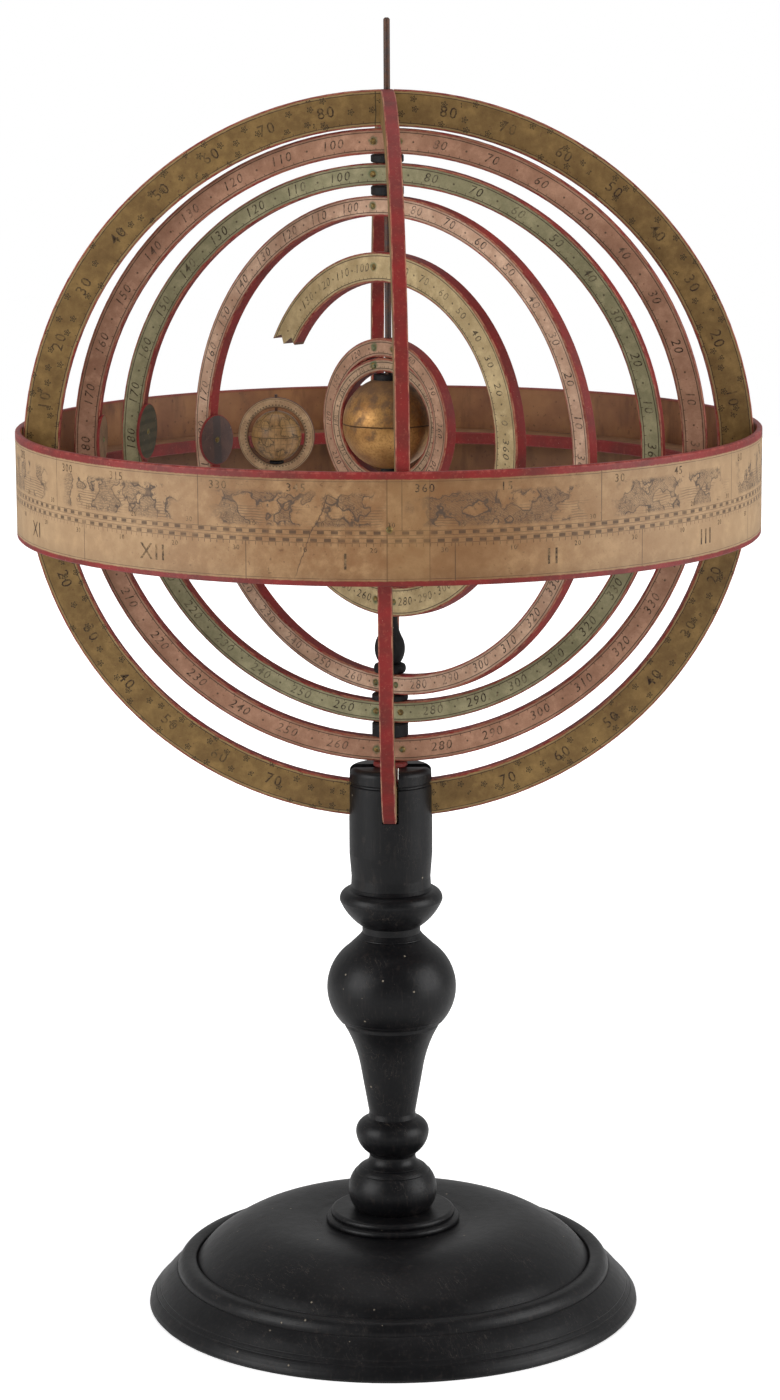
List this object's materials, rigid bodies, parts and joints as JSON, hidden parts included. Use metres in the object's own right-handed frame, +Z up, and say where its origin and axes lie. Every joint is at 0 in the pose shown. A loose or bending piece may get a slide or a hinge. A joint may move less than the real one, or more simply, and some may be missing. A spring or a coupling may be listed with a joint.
{
  "type": "armillary sphere",
  "caption": "Armillary sphere of nested pasteboard planet rings round a gilt Sun, in a cage with a zodiac band, on a turned black stand.",
  "frame": {"origin": "middle of the underside of the base", "axes": "+Z up along the rod; -Y towards the viewer, who sees the front of the zodiac band; +X to the right"},
  "size_m": [0.301, 0.301, 0.5304],
  "materials": {
    "ebonised_wood": "satin",
    "colure_board": "varnished paper, red edges",
    "ecliptic_board": "varnished",
    "band_board": "varnished paper, red borders",
    "saturn_board": "varnished paper, red edges",
    "jupiter_board": "varnished paper, red edges",
    "mars_board": "varnished paper, red edges",
    "earth_board": "varnished paper, red edges",
    "venus_board": "varnished paper, red edges",
    "mercury_board": "varnished paper, red edges",
    "meridian_board": "varnished paper",
    "globe_paper": "varnished",
    "planet_card": "dull paint",
    "gilt_sun": "worn gilding",
    "brass_pins": "tarnished, with verdigris",
    "iron_rod": "browned",
    "dark_spacer": "dull black",
    "red_washer": "red paint"
  },
  "bodies": {
    "stand": {"base": "ebonised_wood", "base_flange": "ebonised_wood", "pillar": "ebonised_wood", "solstice_colure": "colure_board", "equinox_colure_upper": "colure_board", "equinox_colure_lower": "colure_board", "ecliptic_ring": "ecliptic_board", "zodiac_band": "band_board", "band_pins": "brass_pins", "axis_rod": "iron_rod", "pillar_washer": "red_washer", "lower_spacer_saturn_jupiter": "dark_spacer", "lower_spacer_jupiter_mars": "dark_spacer", "baluster_spacer": "dark_spacer", "lower_spacer_earth_venus": "dark_spacer", "lower_washer_venus_mercury": "dark_spacer", "upper_spacer_saturn_jupiter": "dark_spacer", "upper_spacer_jupiter_mars": "dark_spacer", "sun_upper_half": "gilt_sun", "sun_lower_half": "gilt_sun", "sun_cap": "dark_spacer", "sun_collar": "dark_spacer"},
    "saturn_orbit": {"saturn_ring": "saturn_board", "saturn_pins": "brass_pins", "saturn_disc": "planet_card", "saturn_nail": "brass_pins"},
    "jupiter_orbit": {"jupiter_ring": "jupiter_board", "jupiter_pins": "brass_pins", "jupiter_disc": "planet_card", "jupiter_nail": "brass_pins"},
    "mars_orbit": {"mars_ring": "mars_board", "mars_pins": "brass_pins", "mars_disc": "planet_card", "mars_nail": "brass_pins"},
    "earth_orbit": {"earth_ring": "earth_board", "earth_pins": "brass_pins"},
    "venus_orbit": {"venus_ring": "venus_board", "venus_pins": "brass_pins"},
    "mercury_orbit": {"mercury_ring": "mercury_board", "mercury_pins": "brass_pins"},
    "earth_turning": {"earth_globe": "globe_paper", "earth_meridian": "meridian_board", "earth_spindle": "iron_rod", "earth_collar": "iron_rod", "earth_saucer": "dark_spacer"}
  },
  "joints": [
    {"name": "saturn_turn", "type": "hinge", "parent": "stand", "child": "saturn_orbit", "pos_m": [0, 0, 0.3594], "axis": [0, 0, 1], "continuous": true},
    {"name": "jupiter_turn", "type": "hinge", "parent": "stand", "child": "jupiter_orbit", "pos_m": [0, 0, 0.3594], "axis": [0, 0, 1], "continuous": true},
    {"name": "mars_turn", "type": "hinge", "parent": "stand", "child": "mars_orbit", "pos_m": [0, 0, 0.3594], "axis": [0, 0, 1], "continuous": true},
    {"name": "earth_turn", "type": "hinge", "parent": "stand", "child": "earth_orbit", "pos_m": [0, 0, 0.3594], "axis": [0, 0, 1], "continuous": true},
    {"name": "venus_turn", "type": "hinge", "parent": "stand", "child": "venus_orbit", "pos_m": [0, 0, 0.3594], "axis": [0, 0, 1], "continuous": true},
    {"name": "mercury_turn", "type": "hinge", "parent": "stand", "child": "mercury_orbit", "pos_m": [0, 0, 0.3594], "axis": [0, 0, 1], "continuous": true},
    {"name": "earth_spin", "type": "hinge", "parent": "earth_orbit", "child": "earth_turning", "pos_m": [-0.0466, 0.0466, 0.35885], "axis": [0, 0, 1], "continuous": true}
  ]
}
